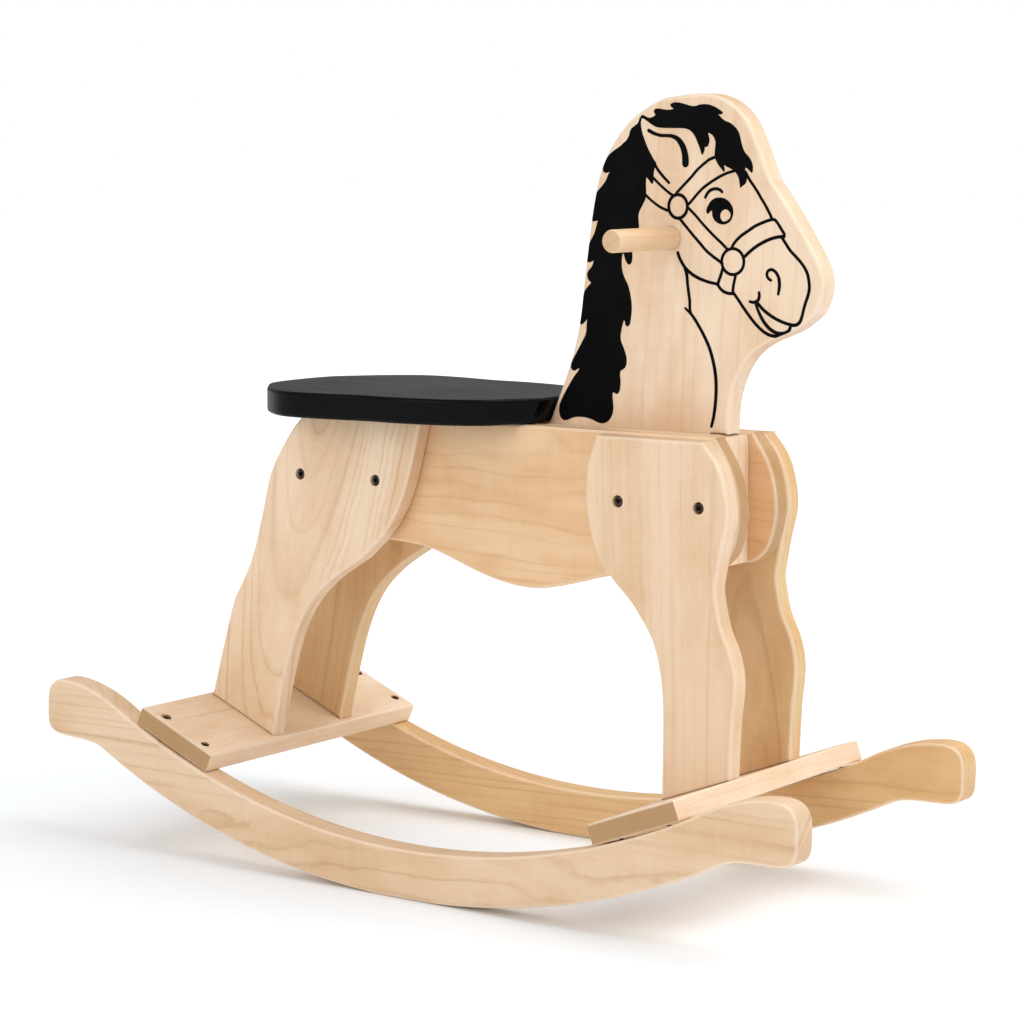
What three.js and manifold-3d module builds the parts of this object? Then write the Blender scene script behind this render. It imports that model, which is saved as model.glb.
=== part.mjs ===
// A child's wooden rocking horse: flat routed boards on two curved rockers.
// Millimetres. +X is forward (the nose), +Y is the horse's left, +Z is up, and the floor is z = 0.

import * as THREE from 'three';
import { mergeVertices } from 'three/addons/utils/BufferGeometryUtils.js';
import Module from 'manifold-3d';

const wasm = await Module();
wasm.setup();

// ---- driving dimensions ------------------------------------------------------------------

const gap = 0.3;                  // left between pieces that touch
const board = 18.2;               // thickness of the legs, sides, cross boards and panels
const neckBoard = 22;             // thickness of the neck and head board
const rockerBoard = 25;           // thickness of the rockers
const seatBoard = 22.5;            // thickness of the seat

const overallWidth = 300;         // across the two rockers
const halfSpace = 21;             // half of the space between the two body sides
const bodyTop = 398;              // height of the top of the legs and the body sides
const bodyBottom = 289;           // height of the bottom of the body at its ends

const rockerRadius = 713;         // underside of the rockers
const rockerDepth = 43.5;         // depth of a rocker, so its top edge has the radius below
const rockerTopRadius = rockerRadius - rockerDepth;
const restHalf = 28;              // half the short flat that the horse stands level on
const restAngle = Math.asin(restHalf / rockerRadius);
const rockerCentre = new THREE.Vector2(13.3, rockerRadius * Math.cos(restAngle));
const rockerPitch = 1.15;         // degrees that the rockers are turned nose down
const crossAngle = 21.9;          // degrees from the lowest point of a rocker to a cross board
const crossWidth = 88;            // cross board, along the rocker
const crossLength = 295;          // cross board, from one rocker to the other
const crossRadius = Math.sqrt(rockerTopRadius ** 2 - (crossWidth / 2) ** 2);  // to its underside

const boltHeight = 342;           // the bolts through the legs stand in one level row
const rearBolts = [-170, -85];
const frontBolts = [171, 250];
const handlePlace = new THREE.Vector2(191.5, 558.5);
const handleRadius = 9.5;
const handleLength = 200;

const panelFront = 250;           // front face of the chest panel
const tailFace = -184;            // rear face of the tail block and the sides
const tailLength = 162;           // the tail block, from its rear face forward
const tailSlope = { run: 26, drop: 46 };  // taken off the top corner, inside the legs

// ---- materials ---------------------------------------------------------------------------

function wood(colour) {
  return new THREE.MeshStandardMaterial({ color: colour, roughness: 0.5, metalness: 0 });
}

const maple = wood(0xe6c9a4);
const warmMaple = wood(0xdcb98c);
const blackPaint = new THREE.MeshStandardMaterial({ color: 0x0d0d0e, roughness: 0.35, metalness: 0 });
const blackSteel = new THREE.MeshStandardMaterial({ color: 0x1b1a19, roughness: 0.4, metalness: 0.9 });
const zincSteel = new THREE.MeshStandardMaterial({ color: 0x9a938a, roughness: 0.35, metalness: 1 });

// ---- helpers: closed meshes, cuts and outlines ------------------------------------------

function solidFrom(geometry) {
  const bare = geometry.clone();
  bare.deleteAttribute('normal');
  bare.deleteAttribute('uv');
  const merged = mergeVertices(bare, 1e-4);
  return new wasm.Manifold(new wasm.Mesh({
    numProp: 3,
    vertProperties: Float32Array.from(merged.attributes.position.array),
    triVerts: Uint32Array.from(merged.index.array),
  }));
}

function geometryFrom(solid) {
  const mesh = solid.getMesh();
  const geometry = new THREE.BufferGeometry();
  geometry.setAttribute('position', new THREE.BufferAttribute(mesh.vertProperties, 3));
  geometry.setIndex(new THREE.BufferAttribute(mesh.triVerts, 1));
  geometry.computeVertexNormals();
  return geometry;
}

function cut(geometry, cutters) {
  let solid = solidFrom(geometry);
  for (const cutter of cutters) solid = solid.subtract(solidFrom(cutter));
  return geometryFrom(solid);
}

const radians = THREE.MathUtils.degToRad;

function points(list) {
  return list.map(([x, z]) => new THREE.Vector2(x, z));
}

// A board standing on edge: its outline is drawn in x and z, and it fills y from yFrom up.
function standingBoard(shape, yFrom, thickness, smoothness = 5) {
  const geometry = new THREE.ExtrudeGeometry(shape, {
    depth: thickness,
    bevelEnabled: false,
    curveSegments: smoothness,
  });
  geometry.rotateX(Math.PI / 2);
  geometry.translate(0, yFrom + thickness, 0);
  return geometry;
}

// The same board on the right (-1) or the left (+1), with its inner face at the given distance.
function sideBoard(shape, side, inner, thickness, smoothness) {
  const yFrom = side > 0 ? inner : -inner - thickness;
  return standingBoard(shape, yFrom, thickness, smoothness);
}

// A round rod along Y between two places.
function rodAcross(radius, x, z, yFrom, yTo, sides = 16) {
  const geometry = new THREE.CylinderGeometry(radius, radius, yTo - yFrom, sides);
  geometry.translate(x, (yFrom + yTo) / 2, z);
  return geometry;
}

// A turned piece from its half profile, [radius, height] pairs, with the axis along Z.
function turned(profile, sides = 8) {
  const geometry = new THREE.LatheGeometry(points(profile), sides);
  geometry.rotateX(Math.PI / 2);
  return geometry;
}

// ---- the frame of a cross board ----------------------------------------------------------

// A cross board lies on the rockers at this angle from their lowest point (rear is negative).
// In its own frame the origin is the middle of its underside, x runs forward along the slope
// and z is square to the board.
function crossFrame(end) {
  const angle = radians(end * crossAngle - rockerPitch);
  const frame = new THREE.Matrix4().makeRotationY(-angle);
  frame.setPosition(
    rockerCentre.x + crossRadius * Math.sin(angle),
    0,
    rockerCentre.y - crossRadius * Math.cos(angle),
  );
  return frame;
}

// The outline point, in x and z, that stands on a cross board at this place along its slope.
function onCrossBoard(end, along) {
  const place = new THREE.Vector3(along, 0, board + 2 * gap).applyMatrix4(crossFrame(end));
  return [place.x, place.z];
}

// ---- fasteners and the holes for them ---------------------------------------------------

const boltHead = { radius: 4.9, height: 5 };
const boltShank = { radius: 3, length: 27 };
const boltRecess = 1.6;           // how far a bolt head lies below the face of the leg
const insert = { radius: 4.6, length: 12 };
const screwHead = { radius: 4.4, height: 3.2 };

const legInner = halfSpace + board + gap;
const legOuter = legInner + board;

// A socket-head bolt: the top of its head is z = 0 and its shank points down.
function boltGeometry() {
  const { radius, height } = boltHead;
  const end = -height - boltShank.length;
  const body = turned([
    [0, end],
    [boltShank.radius - 0.8, end],
    [boltShank.radius, end + 0.8],
    [boltShank.radius, -height],
    [radius, -height],
    [radius, -0.6],
    [radius - 0.6, 0],
    [0, 0],
  ], 12);
  const socket = new THREE.CylinderGeometry(2.7, 2.7, 6, 6);
  socket.rotateX(Math.PI / 2);
  return cut(body, [socket]);
}

// The counterbore, clearance hole and insert hole of a bolt, in the bolt's own frame.
function boltHole() {
  const top = boltRecess + 1;
  const end = -boltRecess - boltHead.height - boltShank.length - 4;
  return turned([
    [0, end],
    [boltShank.radius + gap, end],
    [boltShank.radius + gap, -boltHead.height - gap],
    [boltHead.radius + gap, -boltHead.height - gap],
    [boltHead.radius + gap, top],
    [0, top],
  ], 12);
}

// A threaded sleeve pressed into the inner face of a body side.
function insertGeometry() {
  const hole = boltShank.radius + gap;
  return turned([
    [hole, 0],
    [insert.radius, 0],
    [insert.radius, insert.length],
    [hole, insert.length],
    [hole, 0],
  ], 12);
}

// A countersunk screw: the top of its head is z = 0 and its point is down.
function screwGeometry(length) {
  const body = turned([
    [0, -length],
    [1.6, -length + 5],
    [2, -screwHead.height - 1],
    [screwHead.radius, -0.4],
    [screwHead.radius, 0],
    [0, 0],
  ]);
  const slots = [0, 1].map((turn) => {
    const slot = new THREE.BoxGeometry(4.6, 1.1, 3.6);
    slot.rotateZ(turn * Math.PI / 2);
    return slot;
  });
  return cut(body, slots);
}

// The countersunk hole of a screw, in the screw's own frame, open at the top.
function screwHole(length) {
  return turned([
    [0, -length - 1],
    [2 + gap, -length + 4],
    [2 + gap, -screwHead.height - 1],
    [screwHead.radius + gap, -0.4],
    [screwHead.radius + gap, 3],
    [0, 3],
  ]);
}

const screwLength = { rocker: 48, foot: 45, seat: 32 };

// Where each kind of fastener goes: a matrix that carries its own frame into the horse's.
function boltPlace(side, x) {
  const place = new THREE.Matrix4().makeRotationX(side > 0 ? -Math.PI / 2 : Math.PI / 2);
  return place.setPosition(x, side * (legOuter - boltRecess), boltHeight);
}

function insertPlace(side, x) {
  const place = new THREE.Matrix4().makeRotationX(side > 0 ? -Math.PI / 2 : Math.PI / 2);
  return place.setPosition(x, side * (halfSpace + 1), boltHeight);
}

function rockerScrewPlace(end, side, along) {
  const y = side * (overallWidth - rockerBoard) / 2;
  const own = new THREE.Matrix4().makeTranslation(along, y, gap + board - 1.2);
  return crossFrame(end).multiply(own);
}

function footScrewPlace(end, side, along) {
  const own = new THREE.Matrix4().makeRotationX(Math.PI);
  own.setPosition(along, side * (legInner + board / 2), gap + 1.2);
  return crossFrame(end).multiply(own);
}

function seatScrewPlace(x, side) {
  const place = new THREE.Matrix4().makeRotationX(Math.PI);
  return place.setPosition(x, side * 10, bodyTop - gap - board + 1.2);
}

const ends = { rear: -1, front: 1 };
const sides = { right: -1, left: 1 };
const rockerScrewsAlong = [-22, 27];
const footScrewsAlong = { rear: [-20, 16], front: [-18, 16] };
const seatScrews = [-4, 40];
const placed = (geometry, place) => geometry.clone().applyMatrix4(place);

// ---- rockers ----------------------------------------------------------------------------

// Front half of a rocker seen from the side, in its own frame: the arcs' centre is the origin,
// and the lower arc starts at this angle from straight down, where the flat ends.
function rockerHalf(start) {
  const low = -rockerRadius;
  const down = -Math.PI / 2;
  const arcEnd = radians(27.1);
  const path = new THREE.Path();
  path.absarc(0, 0, rockerRadius, down + start, down + arcEnd, false);
  path.bezierCurveTo(341.5, low + 89, 356.5, low + 86, 384.5, low + 88);
  path.quadraticCurveTo(399.5, low + 89, 399.5, low + 103);
  path.lineTo(399.5, low + 119);
  path.quadraticCurveTo(399.5, low + 140, 378.5, low + 140);
  path.bezierCurveTo(
    358.5, low + 140, 331.5, low + 133,
    rockerTopRadius * Math.sin(arcEnd), -rockerTopRadius * Math.cos(arcEnd),
  );
  path.absarc(0, 0, rockerTopRadius, down + arcEnd, down, true);
  return path.getPoints(9);
}

function rockerShape() {
  const turn = radians(-rockerPitch);
  const front = rockerHalf(restAngle - turn);
  const rear = rockerHalf(restAngle + turn)
    .map((point) => new THREE.Vector2(-point.x, point.y)).reverse();
  const outline = [...front, ...rear.slice(1)];
  return new THREE.Shape(outline.map((point) => (
    point.rotateAround(new THREE.Vector2(), turn).add(rockerCentre)
  )));
}

function rocker(side) {
  const blank = sideBoard(rockerShape(), side, overallWidth / 2 - rockerBoard, rockerBoard);
  const cutters = [];
  for (const end of Object.values(ends)) {
    for (const along of rockerScrewsAlong) {
      cutters.push(placed(screwHole(screwLength.rocker), rockerScrewPlace(end, side, along)));
    }
  }
  return cut(blank, cutters);
}

// ---- cross boards -----------------------------------------------------------------------

function crossBoard(endName) {
  const end = ends[endName];
  const blank = new THREE.BoxGeometry(crossWidth, crossLength, board);
  blank.translate(0, 0, gap + board / 2);
  const cutters = [];
  for (const side of Object.values(sides)) {
    for (const along of rockerScrewsAlong) {
      cutters.push(placed(screwHole(screwLength.rocker), rockerScrewPlace(end, side, along)));
    }
    for (const along of footScrewsAlong[endName]) {
      cutters.push(placed(screwHole(screwLength.foot), footScrewPlace(end, side, along)));
    }
  }
  return cut(placed(blank, crossFrame(end)), cutters);
}

// ---- legs -------------------------------------------------------------------------------

function rearLegShape() {
  const shape = new THREE.Shape();
  shape.moveTo(-163, bodyTop);
  shape.splineThru(points([[-181, 380], [-205, 342], [-216, 303], [-230, 259], [-251, 221]]));
  shape.splineThru(points([[-262, 185], onCrossBoard(-1, -40)]));
  shape.lineTo(...onCrossBoard(-1, 39));
  shape.splineThru(points([[-192, 152], [-180, 190], [-163, 222], [-138, 247], [-101, 271]]));
  shape.splineThru(points([[-73, 298], [-56, 326], [-44, 362], [-35, bodyTop]]));
  return shape;
}

function frontLegShape() {
  const shape = new THREE.Shape();
  shape.moveTo(149, bodyTop - 2);
  shape.splineThru(points([[140, 370], [138, 345], [142, 318], [154, 288], [184, 258]]));
  shape.splineThru(points([[204, 230], [213, 200], [216, 165], onCrossBoard(1, -30)]));
  shape.lineTo(...onCrossBoard(1, 41));
  shape.lineTo(284, 168);
  shape.splineThru(points([[287, 200], [282, 224], [272, 246], [266, 275]]));
  shape.splineThru(points([[272, 308], [278, 338], [270, 374], [253, bodyTop - 2]]));
  return shape;
}

function leg(shape, sideName, endName, boltRow) {
  const side = sides[sideName];
  const cutters = boltRow.map((x) => placed(boltHole(), boltPlace(side, x)));
  for (const along of footScrewsAlong[endName]) {
    const place = footScrewPlace(ends[endName], side, along);
    cutters.push(placed(screwHole(screwLength.foot), place));
  }
  return cut(sideBoard(shape, side, legInner, board), cutters);
}

// ---- body sides and what stands between them ---------------------------------------------

function bodySideShape() {
  const shape = new THREE.Shape();
  shape.moveTo(tailFace + tailSlope.run, bodyTop);
  shape.lineTo(tailFace, bodyTop - tailSlope.drop);
  shape.lineTo(tailFace, bodyBottom);
  shape.lineTo(-75, bodyBottom - 2);
  shape.splineThru(points([[-38, 283], [22, 264], [68, 257.5], [112, 265], [170, 283]]));
  shape.lineTo(254, bodyBottom - 1);
  shape.splineThru(points([[270, 303], [277.5, 335], [271, 369], [253, bodyTop]]));
  return shape;
}

function bodySide(sideName) {
  const side = sides[sideName];
  const cutters = [];
  for (const x of [...rearBolts, ...frontBolts]) {
    const sleeve = turned([
      [0, -2],
      [insert.radius + gap, -2],
      [insert.radius + gap, insert.length + gap],
      [0, insert.length + gap],
    ], 12);
    cutters.push(placed(boltHole(), boltPlace(side, x)));
    cutters.push(placed(sleeve, insertPlace(side, x)));
  }
  return cut(sideBoard(bodySideShape(), side, halfSpace, board), cutters);
}

// The chest panel closes the space between the sides under the throat; its top edge is eased.
function chestPanelShape() {
  const ease = 6;
  return new THREE.Shape(points([
    [panelFront - board, bodyBottom],
    [panelFront, bodyBottom],
    [panelFront, bodyTop - ease],
    [panelFront - 2, bodyTop - 2],
    [panelFront - ease, bodyTop],
    [panelFront - board, bodyTop],
  ]));
}

function tailBlockShape() {
  return new THREE.Shape(points([
    [tailFace, bodyBottom],
    [tailFace + tailLength, bodyBottom],
    [tailFace + tailLength, bodyTop],
    [tailFace + tailSlope.run, bodyTop],
    [tailFace, bodyTop - tailSlope.drop],
  ]));
}

const betweenSides = 2 * (halfSpace - gap);

function betweenBoard(shape) {
  return standingBoard(shape, -betweenSides / 2, betweenSides);
}

// ---- neck and head ----------------------------------------------------------------------

const neckFoot = { rear: 84, bottom: 345, front: panelFront - board - gap };
const backOfNeck = [68, bodyTop];

function headShape() {
  const shape = new THREE.Shape();
  shape.moveTo(neckFoot.front, neckFoot.bottom);
  shape.lineTo(neckFoot.front, bodyTop + gap);
  shape.lineTo(248, bodyTop + gap);
  shape.splineThru(points([[251, 430], [263, 457], [281, 473], [311, 486], [330, 500]]));
  shape.splineThru(points([[337, 519], [333, 540], [306, 582], [286, 608]]));
  shape.splineThru(points([[274, 636], [262, 658], [244, 672], [221, 677], [182, 673.5]]));
  shape.splineThru(points([[151, 656], [126, 625], [114, 588], [104, 522]]));
  shape.splineThru(points([[99, 484], [89, 448], backOfNeck]));
  shape.lineTo(neckFoot.rear, neckFoot.bottom);
  return shape;
}

function neckAndHead() {
  const blank = standingBoard(headShape(), -neckBoard / 2, neckBoard);
  const reach = neckBoard;
  const hole = rodAcross(handleRadius + gap, handlePlace.x, handlePlace.y, -reach, reach, 24);
  return cut(blank, [hole]);
}

// A thin board on each side of the neck's foot takes up the rest of the space.
function neckPackerShape() {
  return new THREE.Shape(points([
    [neckFoot.rear + 4, neckFoot.bottom],
    [neckFoot.front - gap, neckFoot.bottom],
    [neckFoot.front - gap, bodyTop],
    [backOfNeck[0] + 4, bodyTop],
  ]));
}

function neckPacker(side) {
  const inner = neckBoard / 2 + gap;
  return sideBoard(neckPackerShape(), side, inner, halfSpace - gap - inner);
}

function handleDowel() {
  const half = handleLength / 2;
  const rounding = 3;
  const corner = (turn) => [
    handleRadius - rounding + rounding * Math.cos(turn),
    half - rounding + rounding * Math.sin(turn),
  ];
  const end = [0, 30, 60, 90].map((degrees) => corner(radians(degrees)));
  const profile = [...end, [0, half]];
  const mirrored = profile.map(([radius, y]) => [radius, -y]).reverse();
  const geometry = new THREE.LatheGeometry(points([...mirrored, ...profile]), 24);
  geometry.translate(handlePlace.x, 0, handlePlace.y);
  return geometry;
}

// ---- seat and its cleat -----------------------------------------------------------------

const seatBottom = bodyTop + gap;
const cleatSpan = [tailFace + tailLength + gap, 58];

// The seat seen from above: a wide back, a waist, a smaller swell, and a blunt front end.
function seatShape() {
  const half = [
    [-221, 0], [-217, 40], [-203, 62], [-182, 86], [-150, 106], [-108, 106], [-68, 99],
    [-28, 98], [14, 90], [45, 73], [68, 42], [90, 28],
  ];
  const other = half.slice(1).map(([x, y]) => [x, -y]).reverse();
  const rim = points([...other, ...half]);
  const shape = new THREE.Shape();
  shape.moveTo(rim[0].x, rim[0].y);
  shape.splineThru(rim.slice(1));
  return shape;
}

// The front end of the seat is sawn to lie along the sloping back of the neck.
function seat() {
  const blank = new THREE.ExtrudeGeometry(seatShape(), {
    depth: seatBoard,
    bevelEnabled: false,
    curveSegments: 4,
  });
  blank.translate(0, 0, seatBottom);
  const slope = [0.42, 1];
  const clear = 1;
  const low = backOfNeck[0] - clear - 10 * slope[0];
  const neckSide = new THREE.Shape(points([
    [low, bodyTop - 10],
    [low + 100, bodyTop - 10],
    [low + 100, bodyTop + 40],
    [low + 50 * slope[0], bodyTop + 40],
  ]));
  const cutters = [standingBoard(neckSide, -200, 400)];
  for (const x of seatScrews) {
    for (const side of Object.values(sides)) {
      cutters.push(placed(screwHole(screwLength.seat), seatScrewPlace(x, side)));
    }
  }
  return cut(blank, cutters);
}

function seatCleat() {
  const [from, to] = cleatSpan;
  const blank = new THREE.BoxGeometry(to - from, betweenSides, board);
  blank.translate((from + to) / 2, 0, bodyTop - gap - board / 2 + gap);
  const cutters = [];
  for (const x of seatScrews) {
    for (const side of Object.values(sides)) {
      cutters.push(placed(screwHole(screwLength.seat), seatScrewPlace(x, side)));
    }
  }
  return cut(blank, cutters);
}

// ---- assembly ---------------------------------------------------------------------------

const horse = new THREE.Group();
horse.name = 'rocking_horse';

function add(name, geometry, material) {
  const mesh = new THREE.Mesh(geometry, material);
  mesh.name = name;
  horse.add(mesh);
}

function addFastener(name, geometry, material, place) {
  const mesh = new THREE.Mesh(geometry, material);
  mesh.name = name;
  mesh.applyMatrix4(place);
  horse.add(mesh);
}

for (const [sideName, side] of Object.entries(sides)) {
  add(`rocker_${sideName}`, rocker(side), maple);
  add(`rear_leg_${sideName}`, leg(rearLegShape(), sideName, 'rear', rearBolts), maple);
  add(`front_leg_${sideName}`, leg(frontLegShape(), sideName, 'front', frontBolts), maple);
  add(`body_side_${sideName}`, bodySide(sideName), maple);
  add(`neck_packer_${sideName}`, neckPacker(side), warmMaple);
}
for (const endName of Object.keys(ends)) {
  add(`${endName}_cross_board`, crossBoard(endName), maple);
}
add('neck_and_head', neckAndHead(), maple);
add('chest_panel', betweenBoard(chestPanelShape()), maple);
add('tail_block', betweenBoard(tailBlockShape()), warmMaple);
add('seat_cleat', seatCleat(), warmMaple);
add('seat', seat(), blackPaint);
add('handle_dowel', handleDowel(), warmMaple);

const bolt = boltGeometry();
const sleeve = insertGeometry();
const screws = {
  rocker: screwGeometry(screwLength.rocker),
  foot: screwGeometry(screwLength.foot),
  seat: screwGeometry(screwLength.seat),
};

for (const [sideName, side] of Object.entries(sides)) {
  const rows = { rear: rearBolts, front: frontBolts };
  for (const [endName, end] of Object.entries(ends)) {
    rows[endName].forEach((x, index) => {
      const tail = `${endName}_${sideName}_${index + 1}`;
      addFastener(`leg_bolt_${tail}`, bolt, blackSteel, boltPlace(side, x));
      addFastener(`bolt_insert_${tail}`, sleeve, zincSteel, insertPlace(side, x));
    });
    rockerScrewsAlong.forEach((along, index) => {
      const name = `rocker_screw_${endName}_${sideName}_${index + 1}`;
      addFastener(name, screws.rocker, blackSteel, rockerScrewPlace(end, side, along));
    });
    footScrewsAlong[endName].forEach((along, index) => {
      const name = `foot_screw_${endName}_${sideName}_${index + 1}`;
      addFastener(name, screws.foot, zincSteel, footScrewPlace(end, side, along));
    });
  }
  seatScrews.forEach((x, index) => {
    const name = `seat_screw_${sideName}_${index + 1}`;
    addFastener(name, screws.seat, zincSteel, seatScrewPlace(x, side));
  });
}

// The origin is the middle of the space that the horse takes up, on the floor.
const room = new THREE.Box3().setFromObject(horse);
const middle = room.getCenter(new THREE.Vector3());
horse.position.set(-middle.x, 0, -room.min.z);

export default horse;
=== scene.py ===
# %% [markdown]
# A child's rocking horse in maple
#
# The real horse is sawn from flat boards: two rockers, two cross boards, four legs, two body
# sides and one tall board for the neck and head. Their edges are rounded over with a router,
# the wood is left pale under a satin lacquer, the seat is painted black, and the mane, bridle
# and face are printed in black on both faces of the head.
#
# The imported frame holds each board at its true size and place, with square edges. Every cell
# below starts from a board's own outline there and gives it the round-over, grain and holes
# of the finished piece.

import math
import random

import bmesh
import bpy
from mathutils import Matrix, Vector
from mathutils.geometry import delaunay_2d_cdt, tessellate_polygon


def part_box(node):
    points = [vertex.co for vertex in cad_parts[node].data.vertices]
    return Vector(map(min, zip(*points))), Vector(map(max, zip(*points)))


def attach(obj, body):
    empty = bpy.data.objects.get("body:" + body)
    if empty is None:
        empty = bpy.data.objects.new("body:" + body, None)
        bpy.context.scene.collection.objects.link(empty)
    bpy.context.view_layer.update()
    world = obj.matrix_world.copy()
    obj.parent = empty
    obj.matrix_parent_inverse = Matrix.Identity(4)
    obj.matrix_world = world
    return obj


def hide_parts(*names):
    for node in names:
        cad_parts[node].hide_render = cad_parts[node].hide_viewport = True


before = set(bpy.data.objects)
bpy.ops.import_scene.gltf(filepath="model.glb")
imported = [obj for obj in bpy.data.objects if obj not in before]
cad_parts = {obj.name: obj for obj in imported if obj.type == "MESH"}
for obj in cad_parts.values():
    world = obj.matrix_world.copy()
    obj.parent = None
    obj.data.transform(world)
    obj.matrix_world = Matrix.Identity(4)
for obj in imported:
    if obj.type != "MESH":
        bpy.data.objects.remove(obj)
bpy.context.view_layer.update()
mm = 0.001
print("parts in the frame:", len(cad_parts))

# %% [markdown]
# The camera
#
# A long lens from the right and the front, a little above the seat, shows the side of the
# horse, the end of each board and the top of the seat. It could be aimed with a constraint,
# but two angles and one point are enough, and easy to change.

# %% The camera
def in_scene(name, data):
    thing = bpy.data.objects.new(name, data)
    bpy.context.scene.collection.objects.link(thing)
    return thing


def stand_camera(azimuth, elevation, place, lens):
    data = bpy.data.cameras.new("camera")
    data.lens = lens
    data.sensor_width = 36
    data.clip_end = 60
    camera = in_scene("camera", data)
    camera.location = place
    camera.rotation_euler = (math.radians(90 - elevation), 0, math.radians(azimuth))
    bpy.context.scene.camera = camera
    return camera


camera = stand_camera(35.76, 7.26, (1.5685, -2.1495, 0.6535), 107.52)
print("camera stands", round(Vector(camera.location).length, 2), "m away")

# %% [markdown]
# The studio
#
# The horse stands on a white sweep under a broad, even light, so its shadows are soft. A sweep
# can be a bent sheet, but a view from behind would meet its wall. A large matt floor under a
# white sky looks seamless from every side. Two wide area lights add the direction: one
# overhead for the tops and the front edges, and a weak one from the camera's side.

# %% The studio
def area_light(name, place, aim, size, watts):
    data = bpy.data.lights.new(name, "AREA")
    data.shape = "RECTANGLE"
    data.size, data.size_y = size
    data.energy = watts
    light = in_scene(name, data)
    light.location = place
    light.rotation_euler = (Vector(aim) - Vector(place)).to_track_quat("-Z", "Y").to_euler()


area_light("overhead_light", (1.3, 0.5, 2.6), (0.1, 0, 0.3), (2.4, 2.4), 50)
area_light("side_light", (-0.6, -3.0, 1.6), (0, 0, 0.35), (2.0, 1.6), 20)

# %% The sky
SKY_SEEN = 1.0
SKY_LIGHT = 0.72
SKY_GLOSS = 0.30

world = bpy.data.worlds.new("white_sky")
world.use_nodes = True
nodes, links = world.node_tree.nodes, world.node_tree.links
sky = nodes["Background"]
sky.inputs["Color"].default_value = (1, 1, 1, 1)
path = nodes.new("ShaderNodeLightPath")
strength = None
for kind, level in (("Is Glossy Ray", SKY_GLOSS), ("Is Camera Ray", SKY_SEEN)):
    choice = nodes.new("ShaderNodeMapRange")
    choice.inputs["To Min"].default_value = SKY_LIGHT
    choice.inputs["To Max"].default_value = level
    links.new(path.outputs[kind], choice.inputs["Value"])
    if strength:
        links.new(strength, choice.inputs["To Min"])
    strength = choice.outputs["Result"]
links.new(strength, sky.inputs["Strength"])
bpy.context.scene.world = world
bpy.context.scene.view_settings.view_transform = "Standard"
print("the sky is white")

# %% [markdown]
# Wiring a material
#
# Every finish is a small network of nodes. Written out in full, the wiring hides the idea, so
# this bench keeps one material open and offers one short call per kind of node. A number goes
# straight onto a socket, a wire is plugged in, and wires add and multiply like numbers.

# %% A bench for wiring materials
class Wire:
    """An output of a node, which can be added, subtracted and multiplied like a number."""

    def __init__(self, bench, socket):
        self.bench, self.socket = bench, socket

    def __add__(self, other):
        return self.bench.math("ADD", self, other)

    def __sub__(self, other):
        return self.bench.math("SUBTRACT", self, other)

    def __mul__(self, other):
        return self.bench.math("MULTIPLY", self, other)


class Bench:
    def __init__(self, name):
        self.material = bpy.data.materials.new(name)
        self.material.use_nodes = True
        self.shader = self.material.node_tree.nodes["Principled BSDF"]

    def feed(self, socket, value):
        if isinstance(value, Wire):
            self.material.node_tree.links.new(value.socket, socket)
        else:
            socket.default_value = value

    def node(self, kind, output=0, inputs=(), **settings):
        node = self.material.node_tree.nodes.new("ShaderNode" + kind)
        for name, value in settings.items():
            setattr(node, name, value)
        for name, value in dict(inputs).items():
            self.feed(node.inputs[name], value)
        return Wire(self, node.outputs[output])

    def math(self, operation, *values):
        return self.node("Math", 0, enumerate(values), operation=operation)

    def dot(self, *vectors):
        return self.node("VectorMath", "Value", enumerate(vectors), operation="DOT_PRODUCT")

    def vector(self, *parts):
        return self.node("CombineXYZ", 0, enumerate(parts))

    def noise(self, vector, scale=1.0, detail=2.0, roughness=0.5):
        return self.node("TexNoise", "Fac", {"Vector": vector, "Scale": scale,
                                             "Detail": detail, "Roughness": roughness})

    def spread(self, value, low, high, to_low=0.0, to_high=1.0, smooth=False):
        """Maps low..high onto to_low..to_high and stops at both ends."""
        return self.node("MapRange", "Result",
                         {"Value": value, "From Min": low, "From Max": high,
                          "To Min": to_low, "To Max": to_high},
                         interpolation_type="SMOOTHSTEP" if smooth else "LINEAR")

    def curve(self, value, stops):
        wire = self.node("ValToRGB", "Color", {"Fac": value})
        ramp = wire.socket.node.color_ramp
        while len(ramp.elements) < len(stops):
            ramp.elements.new(0.5)
        for element, (place, shade) in zip(ramp.elements, stops):
            element.position = place
            element.color = (shade, shade, shade, 1)
        return wire

    def blend(self, amount, first, second, how="MIX"):
        return self.node("Mix", "Result", {"Factor": amount, "A": first, "B": second},
                         data_type="RGBA", blend_type=how)

    def place(self):
        return self.node("TexCoord", "Object")

    def eased(self):
        """How far round a rounded edge this point lies."""
        return self.node("Attribute", "Fac", attribute_name="eased")

    def bump(self, height, strength, distance):
        normal = self.node("Bump", "Normal", {"Height": height, "Strength": strength,
                                              "Distance": distance})
        self.set(Normal=normal)

    def set(self, **values):
        for name, value in values.items():
            self.feed(self.shader.inputs[name.replace("_", " ")], value)
        return self.material


def rgb(code):
    """A colour written as six hex digits, as the shader wants it."""
    parts = [int(code[i:i + 2], 16) / 255 for i in (0, 2, 4)]
    return tuple(p / 12.92 if p <= 0.04045 else ((p + 0.055) / 1.055) ** 2.4
                 for p in parts) + (1,)


print("the bench is ready")

# %% [markdown]
# White paper
#
# The lights only reach a few metres, so a plain floor would turn grey towards the horizon. The
# paper gets a faint glow that grows with distance from the horse, so it fades into the white
# sky while the shadows near the rockers stay. It is tinted a little cool, against the warm
# light that the wood throws down on it.

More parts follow.
